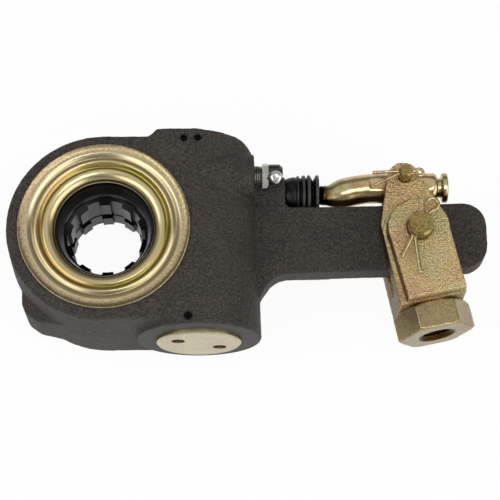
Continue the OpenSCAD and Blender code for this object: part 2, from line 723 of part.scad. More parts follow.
module link_pin() {
  c = 0.5;
  color(gold)
    translate([eye_x, eye_y, 0])
      difference() {
        rotate_extrude()
          polygon([[0, -ear_z - 3.4], [4.4, -ear_z - 3.4], [5, -ear_z - 2.8], [5, -ear_z - seat_gap],
            [link_pin_r, -ear_z - seat_gap], [link_pin_r, link_pin_end - c], [link_pin_r - c, link_pin_end],
            [0, link_pin_end]]);
        translate([0, 0, link_cotter_z]) rotate([0, 90, 0]) cylinder(r = 1.35, h = 20, center = true, $fn = 32);
      }
}

// Flat wire through a row of points
module flat_wire(p, w) {
  for (i = [0:len(p) - 2])
    translate(p[i])
      rotate(atan2(p[i + 1][1] - p[i][1], p[i + 1][0] - p[i][0]))
        translate([0, -w / 2]) square([norm(p[i + 1] - p[i]), w]);
  for (q = p)
    translate(q) circle(d = w, $fn = 12);
}

module clevis_cotter() {
  w = 1.4;
  color(gold)
    translate([arm_reach, 0, cotter_z - w / 2])
      linear_extrude(w) {
        difference() {
          translate([6.4, 11.09]) circle(r = 3);
          translate([6.4, 11.09]) circle(r = 1.7);
        }
        flat_wire([[5, 10.6], [3.57, 7.63], [-4.13, -5.7], [-9.8, -16.3]], w);
        flat_wire([[6.6, 8.8], [4.83, 6.9], [-2.87, -6.43], [-1, -25.2], [0.3, -23.6]], w);
      }
}

module link_cotter() {
  w = 1.1;
  color(gold)
    translate([eye_x, eye_y, link_cotter_z - w / 2])
      linear_extrude(w) {
        difference() {
          translate([6.6, 0]) circle(r = 2.4);
          translate([6.6, 0]) circle(r = 1.35);
        }
        flat_wire([[5.3, 1.4], [3.6, 0.57], [-3.6, 0.57], [-16.2, 0.2]], w);
        flat_wire([[5.3, -1.4], [3.6, -0.57], [-3.6, -0.57], [-17, -7]], w);
      }
}

module arm_bush() {
  color(bronze) translate([arm_reach, 0, 0]) ring(arm_bush_r, yoke_pin_r + run_gap, -arm_half, arm_half);
}

// Threaded stem with grooves, hexagon and elbow of the fitting
module grease_fitting() {
  t = fit_thread_r;
  color(steel)
    difference() {
      union() {
        along_x(fit_y, fit_z) {
          translate([0, 0, fit_x - 7]) cylinder(r = t, h = 7);
          for (i = [0:4])
            translate([0, 0, fit_x + i * 0.94]) cylinder(r1 = t - 0.5, r2 = t, h = 0.94);
          intersection() {
            translate([0, 0, fit_x + 4.6]) rotate([0, 0, 30]) cylinder(r = 6.41, h = 3.1, $fn = 6);
            translate([0, 0, fit_x + 4.6]) cylinder(r1 = 8, r2 = 5.6, h = 3.1);
          }
        }
        along_x(fit_y + elbow_rise, fit_z) translate([0, 0, fit_x + 7.4]) cylinder(r = elbow_r, h = 5.6);
        along_x(fit_y + elbow_rise, fit_z) translate([0, 0, fit_x + 12.9]) cylinder(r1 = elbow_r, r2 = 3.4, h = 1.7);
      }
      along_x(fit_y, fit_z) translate([0, 0, fit_x - 12]) cylinder(r = 1.3, h = 22);
    }
}

// Nipple end standing on the fitting's elbow, leaning forward
module grease_ball() {
  color(steel)
    translate([fit_x + 11, fit_y, fit_z])
      rotate([nipple_lean, 0, 0])
        translate([0, 0, nipple_foot])
          difference() {
            rotate_extrude()
              polygon([[0, 0], [2.7, 0], [2.7, 0.8], [2.3, 1.1], [2.3, 1.5], [3, 2], [3.4, 2.8], [3.4, 3.5], [2.9, 4.5],
                [2, 5.2], [1, 5.4], [0, 5.4]]);
            translate([0, 0, 4.6]) cylinder(r = 0.6, h = 2, $fn = 24);
          }
}

module plug_pin() {
  color(dark_steel) translate([worm_x - 4.6, 4.1 - barrel_low, body_half - 9.6]) ring(1.66, 0.6, 0, 6);
}

module bush_pin_left() {
  color(dark_steel) translate([worm_x - 6.7, barrel_high - 4.9, body_half - 17.8]) ring(1.32, 0.5, 0, 14);
}

module bush_pin_right() {
  color(dark_steel) translate([worm_x + 0.1, barrel_high - 4.7, body_half - 17.2]) ring(1.32, 0.5, 0, 13.4);
}

housing();
front_plate();
rear_plate();
front_bush();
rear_bush();
front_thrust();
rear_thrust();
front_seal();
rear_seal();
worm_wheel();
worm();
lower_bush();
upper_bush();
worm_plug();
plug_seal();
worm_seal();
pinion();
clutch_spring();
rack();
rack_guide();
boot();
link();
clevis();
hex_collar();
clevis_pin();
link_pin();
clevis_cotter();
link_cotter();
arm_bush();
grease_fitting();
grease_ball();
plug_pin();
bush_pin_left();
bush_pin_right();
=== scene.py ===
import json
import math
import bpy
import bmesh
from mathutils import Matrix, Vector, noise


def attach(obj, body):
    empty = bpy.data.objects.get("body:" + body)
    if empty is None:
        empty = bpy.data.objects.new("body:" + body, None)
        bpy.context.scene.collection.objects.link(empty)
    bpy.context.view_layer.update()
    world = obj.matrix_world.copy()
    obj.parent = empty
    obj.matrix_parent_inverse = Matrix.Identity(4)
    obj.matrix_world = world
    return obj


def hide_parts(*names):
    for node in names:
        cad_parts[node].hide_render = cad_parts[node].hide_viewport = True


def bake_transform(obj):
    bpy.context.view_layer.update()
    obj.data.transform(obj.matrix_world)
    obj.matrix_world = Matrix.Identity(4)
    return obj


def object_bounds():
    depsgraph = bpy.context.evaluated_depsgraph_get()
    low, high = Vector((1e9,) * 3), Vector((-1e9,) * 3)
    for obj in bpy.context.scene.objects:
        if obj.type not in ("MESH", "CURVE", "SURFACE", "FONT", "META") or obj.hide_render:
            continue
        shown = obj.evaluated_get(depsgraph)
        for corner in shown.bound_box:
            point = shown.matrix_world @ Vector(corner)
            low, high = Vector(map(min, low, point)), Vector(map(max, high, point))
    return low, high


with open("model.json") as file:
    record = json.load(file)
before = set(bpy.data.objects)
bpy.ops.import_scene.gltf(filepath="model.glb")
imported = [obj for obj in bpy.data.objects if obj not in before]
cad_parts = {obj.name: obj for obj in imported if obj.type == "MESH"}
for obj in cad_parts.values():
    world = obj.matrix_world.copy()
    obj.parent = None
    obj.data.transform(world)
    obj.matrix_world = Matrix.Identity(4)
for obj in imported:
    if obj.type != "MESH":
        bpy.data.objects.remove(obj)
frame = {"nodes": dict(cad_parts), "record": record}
cadBox = [list(corner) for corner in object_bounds()]
mm = 0.001
armPinX, barrelX, rackY, rodBeside = 152.4, 45.0, 26.0, -0.9  # axes of the CAD, in millimetres
eyeX, eyeY = 146.598, 28.618  # the link's eye at rest
yokeTurn = math.radians(11.46)  # how far the yoke leans at rest
print("frame loaded, box", cadBox)


def hexColour(code):
    channels = [int(code[i:i + 2], 16) / 255 for i in (1, 3, 5)]
    linear = [c / 12.92 if c <= 0.04045 else ((c + 0.055) / 1.055) ** 2.4 for c in channels]
    return (*linear, 1.0)


def addNode(tree, kind, settings=None, values=None, links=None):
    node = tree.nodes.new(kind)
    for name, value in (settings or {}).items():
        setattr(node, name, value)
    for name, value in (values or {}).items():
        node.inputs[name].default_value = value
    for name, source in (links or {}).items():
        tree.links.new(source, node.inputs[name])
    return node


def newObject(name, mesh):
    piece = bpy.data.objects.new(name, mesh)
    bpy.context.scene.collection.objects.link(piece)
    return piece


def cleaned(mesh, dissolve=False):
    # doubles merged, faces turned outwards
    bm = bmesh.new()
    bm.from_mesh(mesh)
    bmesh.ops.remove_doubles(bm, verts=bm.verts, dist=1e-7)
    if dissolve:
        bmesh.ops.dissolve_degenerate(bm, edges=bm.edges, dist=1e-8)
    bmesh.ops.recalc_face_normals(bm, faces=bm.faces)
    bm.to_mesh(mesh)
    bm.free()
    return mesh


def meshFrom(name, points, faces, dissolve=False):
    # points in millimetres
    mesh = bpy.data.meshes.new(name)
    mesh.from_pydata([Vector(p) * mm for p in points], [], faces)
    cleaned(mesh, dissolve).shade_smooth()
    return mesh


def finishPiece(piece, material, body, slotName, *nodes):
    piece.data.materials.clear()
    piece.data.materials.append(material)
    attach(piece, body)
    if nodes:
        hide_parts(*nodes)
    return piece


def evaluated(piece):
    # plain mesh of what the modifiers make, with the modifiers gone
    depsgraph = bpy.context.evaluated_depsgraph_get()
    result = bpy.data.meshes.new_from_object(piece.evaluated_get(depsgraph))
    piece.modifiers.clear()
    piece.data = result
    return result


def rounded(points, radius, steps=4, closed=True):
    # every corner of a profile gets a small arc, no longer than its sides allow
    result = []
    count = len(points)
    for i, corner in enumerate(points):
        if not closed and i in (0, count - 1):
            result.append(tuple(corner))
            continue
        here = Vector(corner)
        toLast = Vector(points[i - 1]) - here
        toNext = Vector(points[(i + 1) % count]) - here
        start = here + toLast.normalized() * min(radius, toLast.length * 0.45)
        end = here + toNext.normalized() * min(radius, toNext.length * 0.45)
        for k in range(steps + 1):
            t = k / steps
            result.append(tuple(start * (1 - t) ** 2 + here * 2 * t * (1 - t) + end * t ** 2))
    return result


def turned(name, profile, place, segments=96, closed=True):
    # profile of (radius, height) turned round the local Z axis, then put in place
    count = len(profile)
    points = []
    for s in range(segments):
        angle = 2 * math.pi * s / segments
        points += [place @ Vector((r * math.cos(angle), r * math.sin(angle), h)) for r, h in profile]
    faces = []
    for s in range(segments):
        for i in range(count if closed else count - 1):
            a, b = s * count + i, s * count + (i + 1) % count
            c, d = (s + 1) % segments * count + (i + 1) % count, (s + 1) % segments * count + i
            faces.append((a, b, c, d))
    return meshFrom(name, points, faces, True)


def alongX(y, z):
    # local Z axis laid along +X, through this height
    return Matrix.Translation((0, y, z)) @ Matrix.Rotation(math.radians(90), 4, "Y")


cameraSet = {"focalPixels": 1832.58, "distance": 906.98, "tilt": 18.04, "azimuth": -1.87, "roll": 1.31,
             "target": (70.35, -3.13, 0.0), "sensor": 36, "pictureWidth": 500}
tilt, azimuth, roll = (math.radians(cameraSet[k]) for k in ("tilt", "azimuth", "roll"))
back = Vector((math.sin(azimuth) * math.sin(tilt), -math.cos(azimuth) * math.sin(tilt), math.cos(tilt)))
right = Vector((math.cos(azimuth), math.sin(azimuth), 0))
up = back.cross(right)
rolledRight = right * math.cos(roll) + up * math.sin(roll)
rolledUp = up * math.cos(roll) - right * math.sin(roll)
cameraData = bpy.data.cameras.new("camera")
cameraData.sensor_width = cameraSet["sensor"]
cameraData.lens = cameraSet["focalPixels"] * cameraSet["sensor"] / cameraSet["pictureWidth"]
camera = bpy.data.objects.new("camera", cameraData)
camera.matrix_world = Matrix.Translation((Vector(cameraSet["target"]) + back * cameraSet["distance"]) * mm) @ Matrix(
    (rolledRight, rolledUp, back)).transposed().to_4x4()
bpy.context.scene.collection.objects.link(camera)
bpy.context.scene.camera = camera
bpy.context.scene.view_settings.view_transform = "Standard"

lampAim = Vector((0.07, 0, 0))  # the part's middle
lampSet = {
    "leftSoftbox": {"at": (-1.00, -0.42, 1.02), "size": (1.9, 0.8), "watts": 12},
    "rightSoftbox": {"at": (1.20, -0.60, 0.68), "size": (1.9, 0.9), "watts": 12},
    "viewSoftbox": {"at": (0.30, -0.30, 1.30), "size": (0.5, 0.3), "watts": 4},  # for the round highlights
    "topSoftbox": {"at": (0.07, 0.55, 1.30), "size": (2.4, 1.6), "watts": 6},  # fills the faces turned to the view
    "lowSoftbox": {"at": (0.05, -1.40, 0.32), "size": (1.6, 0.4), "watts": 1},  # fills the sides below the faces
}
for lampName, lamp in lampSet.items():
    lampData = bpy.data.lights.new(lampName, "AREA")
    lampData.shape = "RECTANGLE"
    lampData.size, lampData.size_y = lamp["size"]
    lampData.energy = lamp["watts"]
    lampObject = bpy.data.objects.new(lampName, lampData)
    lampObject.location = lamp["at"]
    aim = lampAim - Vector(lamp["at"])
    lampObject.rotation_euler = aim.to_track_quat("-Z", "Y").to_euler()
    bpy.context.scene.collection.objects.link(lampObject)

worldSet = {"colour": "#f6f6f8", "strength": 0.26}
world = bpy.data.worlds.new("studio")
bpy.context.scene.world = world
world.use_nodes = True
tree = world.node_tree
tree.nodes.clear()
room = addNode(tree, "ShaderNodeBackground",
               values={"Color": hexColour(worldSet["colour"]), "Strength": worldSet["strength"]})
addNode(tree, "ShaderNodeOutputWorld", links={"Surface": room.outputs[0]})
print("camera, lamps and world set")


def startMaterial(name):
    material = bpy.data.materials.new(name)
    material.use_nodes = True
    tree = material.node_tree
    tree.nodes.clear()
    shader = addNode(tree, "ShaderNodeBsdfPrincipled")
    addNode(tree, "ShaderNodeOutputMaterial", links={"Surface": shader.outputs[0]})
    where = addNode(tree, "ShaderNodeTexCoord").outputs["Object"]
    return material, tree, shader, where


def colourRamp(tree, source, stops):
    ramp = addNode(tree, "ShaderNodeValToRGB", links={0: source})
    elements = ramp.color_ramp.elements
    while len(elements) < len(stops):
        elements.new(0.5)
    for element, (position, code) in zip(elements, stops):
        element.position = position
        element.color = hexColour(code)
    return ramp.outputs[0]


def noiseOf(tree, where, size, detail, **more):
    # noise with grains of this many millimetres
    return addNode(tree, "ShaderNodeTexNoise", values={"Scale": 1 / (size * mm), "Detail": detail, **more},
                   links={"Vector": where}).outputs[0]


def mapped(tree, source, low, high, start=0.0, end=1.0):
    # low to high, while the source runs from start to end
    limits = {"From Min": start, "From Max": end, "To Min": low, "To Max": high}
    return addNode(tree, "ShaderNodeMapRange", values=limits, links={"Value": source}).outputs[0]


def mixColours(tree, first, second, share=None, blend="MULTIPLY"):
    # a Mix node's sockets for colours: 0 takes the share, 6 and 7 the two colours, 2 gives the result
    mix = addNode(tree, "ShaderNodeMix", {"data_type": "RGBA", "blend_type": blend}, {0: 1.0}, {6: first})
    if isinstance(second, tuple):
        mix.inputs[7].default_value = second
    else:
        tree.links.new(second, mix.inputs[7])
    if share is not None:
        tree.links.new(share, mix.inputs[0])
    return mix.outputs[2]


def bumped(tree, shader, height, strength, depth):
    # small relief, its depth in millimetres
    bump = addNode(tree, "ShaderNodeBump", values={"Strength": strength, "Distance": depth * mm},
                   links={"Height": height})
    tree.links.new(bump.outputs[0], shader.inputs["Normal"])


def lengthOf(tree, place, keep):
    # distance from an axis: how long a place is with one direction left out
    flat = addNode(tree, "ShaderNodeVectorMath", {"operation": "MULTIPLY"}, {1: keep}, {0: place})
    return addNode(tree, "ShaderNodeVectorMath", {"operation": "LENGTH"}, links={0: flat.outputs[0]}).outputs["Value"]


def castIronMaterial(name, dark, light, grain, depth):
    # grey iron, sand cast under a thin dark coat: pebbly matt skin, faint mottling, and grains that stand high
    # painted paler as highlight
    material, tree, shader, where = startMaterial(name)
    sand = noiseOf(tree, where, grain, 3.0, Roughness=0.6)
    patch = noiseOf(tree, where, 16, 4.0)
    pits = addNode(tree, "ShaderNodeTexVoronoi", values={"Scale": 1 / (2.4 * mm), "Randomness": 1.0},
                   links={"Vector": where})
    # the colour follows the sand relief: high grains are paler, a painted highlight
    tone = addNode(tree, "ShaderNodeMath", {"operation": "MULTIPLY_ADD"}, {1: 0.14}, {0: patch, 2: sand})
    tree.links.new(colourRamp(tree, tone.outputs[0], [(0.47, dark), (0.69, light)]), shader.inputs["Base Color"])
    tree.links.new(mapped(tree, sand, 0.5, 0.74), shader.inputs["Roughness"])
    dents = addNode(tree, "ShaderNodeMath", {"operation": "MULTIPLY_ADD"}, {1: 0.5}, {0: pits.outputs[0], 2: sand})
    bumped(tree, shader, dents.outputs[0], 0.9, depth)
    shader.inputs["IOR"].default_value = 1.42
    return material


def zincMaterial(name, gold, green, pink, rough, grain, depth):
    # steel with yellow chromate over zinc: satin gold with soft green and pink drifts
    material, tree, shader, where = startMaterial(name)
    drift = noiseOf(tree, where, 22, 2.0, Distortion=0.6)
    hue = colourRamp(tree, drift, [(0.36, green), (0.5, gold), (0.64, pink)])
    fine = noiseOf(tree, where, grain, 3.0)
    shade = colourRamp(tree, fine, [(0.3, "#b8b0a4"), (0.62, "#ffffff")])
    tree.links.new(mixColours(tree, hue, shade), shader.inputs["Base Color"])
    tree.links.new(mapped(tree, fine, rough - 0.06, rough + 0.08), shader.inputs["Roughness"])
    bumped(tree, shader, fine, 0.5, depth)
    shader.inputs["Metallic"].default_value = 1.0
    return material


def pressedRingMaterial(name, rings, reach, rough, flangeRough):
    # pressed steel under yellow zinc: each drawn ring has its own stretch of film, from satin flange to olive throat,
    # with painted highlight on its crests and painted shade in its grooves
    material, tree, shader, where = startMaterial(name)
    radius = lengthOf(tree, where, (1, 1, 0))
    share = mapped(tree, radius, 0, 1, reach[0] * mm, reach[1] * mm)
    grooves = [(28.6, "#606060"), (29.8, "#ffffff"), (31.8, "#ffffff"), (32.8, "#606060")]  # where the film varies
    # the film's tone by radius, with painted highlight on the crests and painted shade in the grooves
    ringToneAndPaintedLight, groove = (colourRamp(tree, share, [((r - reach[0]) / (reach[1] - reach[0]), code) for r, code in rows])
                    for rows in (rings, grooves))
    drift = noiseOf(tree, where, 24, 2.0)
    across = addNode(tree, "ShaderNodeSeparateXYZ", links={0: where})
    side = mapped(tree, across.outputs["X"], -0.3, 0.3, -40 * mm, 40 * mm)
    filmAt = addNode(tree, "ShaderNodeMath", {"operation": "ADD"}, links={0: drift, 1: side})
    tintAndPaintedLight = colourRamp(tree, filmAt.outputs[0],
                      [(0.28, "#ffeee2"), (0.45, "#fff6ea"), (0.58, "#fbf8e4"), (0.74, "#e4eba8")])
    flange = mapped(tree, radius, 0, 1, 36.6 * mm, 37.8 * mm)
    fine = noiseOf(tree, where, 0.9, 4.0, Roughness=0.65)
    speck = colourRamp(tree, fine, [(0.34, "#c2b7a4"), (0.62, "#ffffff")])
    tone = mixColours(tree, ringToneAndPaintedLight, tintAndPaintedLight, groove)
    tree.links.new(mixColours(tree, tone, speck, flange), shader.inputs["Base Color"])
    shine = mapped(tree, flange, rough, flangeRough)
    tree.links.new(shine, shader.inputs["Roughness"])
    height = addNode(tree, "ShaderNodeMath", {"operation": "MULTIPLY"}, links={0: fine, 1: shine})
    bumped(tree, shader, height.outputs[0], 0.3, 0.12)
    shader.inputs["Metallic"].default_value = 1.0
    return material


def turnedMetal(name, dark, light, rough, line, depth, metallic=1.0, specular=0.5):
    # machined metal: fine tool marks and slight stain
    material, tree, shader, where = startMaterial(name)
    stain = noiseOf(tree, where, 7, 3.0)
    tree.links.new(colourRamp(tree, stain, [(0.35, dark), (0.65, light)]), shader.inputs["Base Color"])
    tree.links.new(mapped(tree, stain, rough - 0.06, rough + 0.1), shader.inputs["Roughness"])
    bumped(tree, shader, noiseOf(tree, where, line, 2.0), 0.3, depth)
    shader.inputs["Metallic"].default_value = metallic
    shader.inputs["Specular IOR Level"].default_value = specular
    return material


def rubberMaterial(name):
    # moulded nitrile rubber: black with a slight oily sheen and dull bloom
    material, tree, shader, where = startMaterial(name)
    bloom = noiseOf(tree, where, 4, 4.0)
    tree.links.new(colourRamp(tree, bloom, [(0.3, "#30302e"), (0.7, "#4a4a47")]), shader.inputs["Base Color"])
    tree.links.new(mapped(tree, bloom, 0.3, 0.42), shader.inputs["Roughness"])
    bumped(tree, shader, noiseOf(tree, where, 0.7, 2.0), 0.2, 0.05)
    shader.inputs["IOR"].default_value = 1.5
    shader.inputs["Specular IOR Level"].default_value = 0.24
    return material


def nodeOf(tree, kind):
    return next(node for node in tree.nodes if node.type == kind)


def tinted(material, measure, start, end, startCode, endCode):
    # a finished material's colour, multiplied by a ramp over some measure of the place; below, it mostly paints shade
    # and highlight
    tree = material.node_tree
    base = nodeOf(tree, "BSDF_PRINCIPLED").inputs["Base Color"]
    share = mapped(tree, measure(tree, nodeOf(tree, "TEX_COORD")), 0, 1, start, end)
    tintAndPaintedLight = colourRamp(tree, share, [(0.0, startCode), (1.0, endCode)])
    tree.links.new(mixColours(tree, base.links[0].from_socket, tintAndPaintedLight), base)


def overlaid(material, measure, start, end, code):
    # a finished material's colour, giving way to another from start to end
    tree = material.node_tree
    base = nodeOf(tree, "BSDF_PRINCIPLED").inputs["Base Color"]
    share = mapped(tree, measure(tree, nodeOf(tree, "TEX_COORD")), 0, 1, start, end)
    tree.links.new(mixColours(tree, base.links[0].from_socket, hexColour(code), share, "MIX"), base)


def placeX(tree, coords):
    return addNode(tree, "ShaderNodeSeparateXYZ", links={0: coords.outputs["Object"]}).outputs["X"]


def fromRodAxis(tree, coords):
    # distance from the push rod's axis
    local = addNode(tree, "ShaderNodeMapping", {"vector_type": "TEXTURE"},
                    {"Location": (armPinX * mm, 0, 0), "Rotation": (0, 0, yokeTurn)},
                    {"Vector": coords.outputs["Object"]})
    beside = addNode(tree, "ShaderNodeVectorMath", {"operation": "ADD"}, {1: (-rodBeside * mm, 0, 0)},
                     {0: local.outputs[0]})
    return lengthOf(tree, beside.outputs[0], (1, 0, 1))


def fromRackAxis(tree, coords):
    # distance from the rack's axis
    local = addNode(tree, "ShaderNodeVectorMath", {"operation": "SUBTRACT"}, {1: (0, rackY * mm, 0)},
                    {0: coords.outputs["Object"]})
    return lengthOf(tree, local.outputs[0], (0, 1, 1))


def acrossYoke(tree, coords):
    # how squarely a face looks to the yoke's left or right, for the painted shade on its sides
    side = addNode(tree, "ShaderNodeVectorMath", {"operation": "DOT_PRODUCT"}, {1: (0.98, 0.2, 0)},
                   {0: coords.outputs["Normal"]})
    return addNode(tree, "ShaderNodeMath", {"operation": "ABSOLUTE"}, links={0: side.outputs["Value"]}).outputs[0]


castIron = castIronMaterial("sandCastIron", "#1e1a17", "#474038", 0.8, 0.9)
# film colour by radius, lighter on the crests as painted highlight and darker in the grooves as painted shade
ringFilmAndPaintedLight = [(24.2, "#b5a67a"), (27.4, "#cdbf95"), (28.6, "#c9ba8c"), (29.6, "#a89a66"), (31.6, "#a0925c"),
            (32.6, "#cfc197"), (33.4, "#c9ba92"), (34.4, "#a39470"), (35.2, "#a8997a"), (36.2, "#d3c6a2"),
            (37.6, "#d0c09c"), (41.5, "#c9b794")]  # radius, colour
ringZinc = pressedRingMaterial("yellowZincPressedRing", ringFilmAndPaintedLight, (24, 42), 0.28, 0.42)
pressedZinc = zincMaterial("yellowZincPressedSteel", "#a8935f", "#a09b68", "#a08566", 0.3, 0.5, 0.02)
grainyZinc = zincMaterial("yellowZincCastSteel", "#d3ba88", "#ccbf91", "#ccad88", 0.38, 0.8, 2.2)
linkZinc = zincMaterial("yellowZincForgedSteel", "#d2b588", "#c9bd8e", "#c6a584", 0.24, 9.0, 0.001)
pinZinc = zincMaterial("yellowZincTurnedSteel", "#a8915c", "#a09a62", "#a08560", 0.26, 1.0, 0.02)
brightZinc = zincMaterial("yellowZincDrawnSteel", "#c9ae80", "#bfb683", "#bd9f80", 0.22, 1.2, 0.02)
collarZinc = zincMaterial("yellowZincMilledSteel", "#ad9b73", "#a39a71", "#a0866c", 0.3, 0.6, 0.03)
paleZinc = zincMaterial("paleZincMachinedSteel", "#d3cda6", "#cbcfab", "#cfc1a4", 0.3, 0.4, 0.02)
cutIron = turnedMetal("machinedIron", "#272421", "#3a3631", 0.6, 0.5, 0.03, 0.0)
blackSteel = turnedMetal("blackOxideSteel", "#040403", "#0b0b09", 0.3, 0.5, 0.04, 0.0, 0.16)
bronzeMetal = turnedMetal("bearingBronze", "#8d6a3c", "#b08a55", 0.35, 0.5, 0.02)
fittingSteel = turnedMetal("plainTurnedSteel", "#a3a39c", "#cdcdc7", 0.26, 0.6, 0.02)
brightSteel = turnedMetal("brightSteel", "#a6a6a0", "#d2d2cc", 0.24, 0.6, 0.02)
blackRubber = rubberMaterial("nitrileRubber")
overlaid(fittingSteel, placeX, 79.3 * mm, 79.7 * mm, "#4c4c47")  # the elbow turns darker grey from X 79.3 to 79.7 mm on
tinted(linkZinc, placeX, 108.6 * mm, 114 * mm, "#7a6a54", "#ffffff")  # darker, browner colour on the link's thin neck, fading out by X 114 mm
tinted(blackRubber, fromRackAxis, 8.9 * mm, 9.4 * mm, "#3c3c3c", "#ffffff")  # crests of the bellows kept lighter than the darkened sleeve and valleys: painted highlight on the crest rims, partly dust
tinted(collarZinc, fromRodAxis, 9.0 * mm, 9.5 * mm, "#6e5c42", "#ffffff")  # painted shade inside the collar's bore and on the thread, reaching just past its mouth
tinted(grainyZinc, acrossYoke, 0.55, 0.95, "#ffffff", "#8e7a54")  # sides of the yoke darker by which way they face: painted shade, with some real stain
slotMaterials = {"cast": castIron, "yellow_zinc": pressedZinc, "black_steel": blackSteel, "bronze": bronzeMetal,
                 "rubber": blackRubber, "bright_steel": brightSteel}
for part in frame["record"]["subparts"]:
    cadNode = frame["nodes"][part["node"]]
    cadNode.data.materials.clear()
    cadNode.data.materials.append(slotMaterials[part["material_slot"]])
ownFinish = {"worm_plug": paleZinc, "clevis_pin": pinZinc, "link_pin": pinZinc, "grease_fitting": fittingSteel}
for nodeName, material in ownFinish.items():
    frame["nodes"][nodeName].data.materials[0] = material
print("materials made")


def softened(name, nodeName, voxel, passes, most=190000):
    # copy of a CAD solid with its edges softened as a mould leaves them
    source = frame["nodes"][nodeName].data
    mesh = bpy.data.meshes.new(name)
    mesh.from_pydata([v.co.copy() for v in source.vertices], [], [tuple(p.vertices) for p in source.polygons])
    bm = bmesh.new()
    bm.from_mesh(mesh)
    bmesh.ops.remove_doubles(bm, verts=bm.verts, dist=2e-6)
    bm.to_mesh(mesh)
    bm.free()
    piece = newObject(name, mesh)
    remesh = piece.modifiers.new("remesh", "REMESH")
    remesh.mode = "VOXEL"
    remesh.voxel_size = voxel * mm
    smooth = piece.modifiers.new("smooth", "SMOOTH")
    smooth.factor = 0.5
    smooth.iterations = passes
    mesh = evaluated(piece)
    triangles = 2 * len(mesh.polygons)
    if triangles > most:
        thin = piece.modifiers.new("thin", "DECIMATE")
        thin.ratio = most / triangles
        mesh = evaluated(piece)
    mesh.shade_smooth()
    print(name, triangles, "triangles before thinning,", len(mesh.polygons), "faces")
    return piece


def roughened(piece, grains, keep):
    # sand marks: each vertex moves a little along its normal, except where keep says the surface was cut
    mesh = piece.data
    normals = [v.normal.copy() for v in mesh.vertices]
    for vertex, normal in zip(mesh.vertices, normals):
        p = vertex.co / mm
        if not keep(p):
            spot = vertex.co + normal * mm * sum(depth * noise.noise(p / size) for size, depth in grains)
            vertex.co = [max(low, min(high, c)) for c, low, high in zip(spot, *cadBox)]
    mesh.update()


castingSet = {
    "voxel": 0.8, "passes": 2, "grains": ((2.6, 0.12), (1.2, 0.07)),
    "cut": {"hub": 40, "barrel": 22.5, "rack": 8, "armPin": 11},  # machined surfaces: radii, half width at the rack
    "pins": ((38.3, 45.3, 0.6), (45.1, 45.5, 0.6), (40.4, -44.8, 0.5)),  # spring pins: x, y, opened by
    "opening": {"reach": 3.4, "above": 22, "ease": 2},
    # under the arm: height where the fillet starts to run out, over what length, by how much, and what it may move
    "fillet": {"start": -23.5, "over": 5.5, "by": 1.8, "barrel": 30.2, "fromX": 74, "halfZ": 9, "lowest": -31},
    # room for the rack: along X, half width, along Z, and how thick a softened wall may be
    "pocket": {"start": 44, "end": 70.6, "half": 3.7, "bottom": 4, "top": 13.05, "wall": 0.8},
}
machined, opening, fillet, pocket = (castingSet[k] for k in ("cut", "opening", "fillet", "pocket"))
casting = softened("casting", "housing", castingSet["voxel"], castingSet["passes"])
roughened(casting, castingSet["grains"],
          lambda p: math.hypot(p.x, p.y) < machined["hub"] or math.hypot(p.x - barrelX, p.z) < machined["barrel"]
          or abs(p.y - rackY) < machined["rack"] and abs(p.z) < machined["rack"]
          or math.hypot(p.x - armPinX, p.y) < machined["armPin"])
for vertex in casting.data.vertices:
    for x, y, opened in castingSet["pins"]:
        out = Vector((vertex.co.x / mm - x, vertex.co.y / mm - y))
        if out.length < opening["reach"] and vertex.co.z / mm > opening["above"]:
            ease = min(1, (opening["reach"] - out.length) / opening["ease"])
            vertex.co.xy += out.normalized() * opened * mm * ease
    x, y, z = vertex.co / mm
    # the arm's lower fillet runs out on the barrel
    if x > fillet["fromX"] and abs(z) < fillet["halfZ"] and fillet["lowest"] < y < fillet["start"]:
        past = x - barrelX - math.sqrt(fillet["barrel"] ** 2 - z ** 2)
        vertex.co.x -= min(1, (fillet["start"] - y) / fillet["over"]) * min(fillet["by"], max(0, past)) * mm
    # softened walls go back where the rack passes
    room = (pocket["end"] - x, pocket["half"] - abs(y - rackY), pocket["top"] - z)
    if x > pocket["start"] and z > pocket["bottom"] and min(room) > 0:
        for i, out in enumerate((room[0], math.copysign(room[1], y - rackY), room[2])):
            if room[i] < pocket["wall"]:
                vertex.co[i] += out * mm
finishPiece(casting, castIron, "housing", "cast", "housing")
print("casting made")

rimSet = {"inner": 20.66, "outer": 29.9, "face": -48.98, "deep": 0.5, "flare": 0.3, "round": 0.15, "segments": 128}
rimProfile = rounded([(rimSet["inner"], rimSet["deep"]), (rimSet["inner"], 0), (rimSet["outer"], 0),
                      (rimSet["outer"] + rimSet["flare"], rimSet["deep"])], rimSet["round"])
barrelRim = newObject("barrelRim", turned("barrelRim", rimProfile, Matrix.Translation((barrelX, rimSet["face"], 0))
                                          @ Matrix.Rotation(math.radians(-90), 4, "X"), rimSet["segments"]))
finishPiece(barrelRim, cutIron, "housing", "cast")
print("machined barrel end made")

ringSet = {"outer": 41.5, "face": 30.02, "flange": 1.4, "bevel": 0.5, "bevelHigh": 0.4, "round": 0.3, "segments": 240,
           # front face from the flange inwards: radius, height
           "waves": [(37.8, 1.4), (36.9, 1.3), (35.8, 0.5), (34.8, -0.15), (34.0, 0.2), (33.1, 0.8), (32.3, 0.65),
                     (31.3, -0.5), (30.4, -1.25), (29.6, -0.85), (28.8, -0.5), (27.6, -0.66), (26.6, -1.05),
                     (25.6, -1.75), (24.7, -2.75), (24.1, -4.0), (23.9, -5.6)],
           "back": [(24.2, -6.4), (25.2, -6.4), (25.7, -4.2), (26.4, -2.9), (27.7, -2.1), (29.3, -2.2),
                    (32.6, -0.7), (33.2, -1.7), (36.1, -1.7), (36.9, 0)],
           # marks of the staking tool on the flange: at these degrees
           "stakes": (60, 150, 239, 327), "stakeDepth": 0.3, "stakeWidth": 3.2, "stakeAbove": 0.5,
           "flangeFrom": 36.9, "flangeWidth": 4.6}


